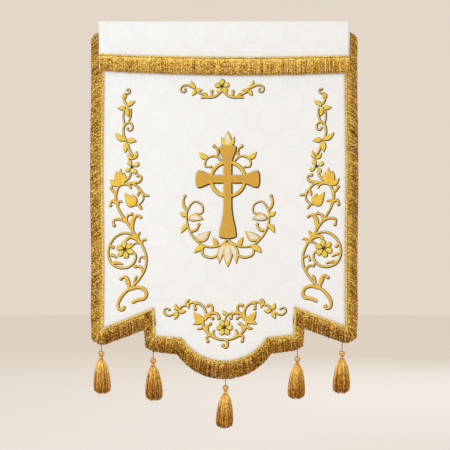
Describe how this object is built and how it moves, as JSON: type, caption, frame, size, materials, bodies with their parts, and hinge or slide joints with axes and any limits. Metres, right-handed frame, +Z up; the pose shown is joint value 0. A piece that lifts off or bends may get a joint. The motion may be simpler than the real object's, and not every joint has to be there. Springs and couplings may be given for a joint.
{
  "type": "church banner",
  "caption": "Hanging banner of white damask with a folded pole pocket, scalloped lower edge, gold fringe on its edges and round gold tassels below.",
  "frame": {"origin": "middle of the top fold, where the banner hangs", "axes": "+Z up, +X to the viewer's right, -Y out of the front face"},
  "size_m": [0.6926, 0.057, 1.0575],
  "materials": {
    "white_damask": "off-white damask with a faint tone-on-tone pattern of ring medallions",
    "gold_fringe": "twisted metallic gold fringe under a light gold braid heading",
    "gold_cord": "thin twisted gold cord",
    "gold_bead": "turned wooden bead, satin gold",
    "gold_silk": "lustrous gold viscose threads"
  },
  "bodies": {
    "root": {"banner_cloth": "white_damask", "flap_fringe": "gold_fringe", "side_fringe_left": "gold_fringe", "side_fringe_right": "gold_fringe", "slant_fringe_left": "gold_fringe", "slant_fringe_right": "gold_fringe", "step_fringe_left": "gold_fringe", "step_fringe_right": "gold_fringe", "level_fringe_left": "gold_fringe", "level_fringe_right": "gold_fringe", "scallop_fringe": "gold_fringe", "tassel_left_corner_cord": "gold_cord", "tassel_left_corner_bead": "gold_bead", "tassel_left_corner_skirt": "gold_silk", "tassel_left_step_cord": "gold_cord", "tassel_left_step_bead": "gold_bead", "tassel_left_step_skirt": "gold_silk", "tassel_centre_cord": "gold_cord", "tassel_centre_bead": "gold_bead", "tassel_centre_skirt": "gold_silk", "tassel_right_step_cord": "gold_cord", "tassel_right_step_bead": "gold_bead", "tassel_right_step_skirt": "gold_silk", "tassel_right_corner_cord": "gold_cord", "tassel_right_corner_bead": "gold_bead", "tassel_right_corner_skirt": "gold_silk"}
  },
  "joints": []
}
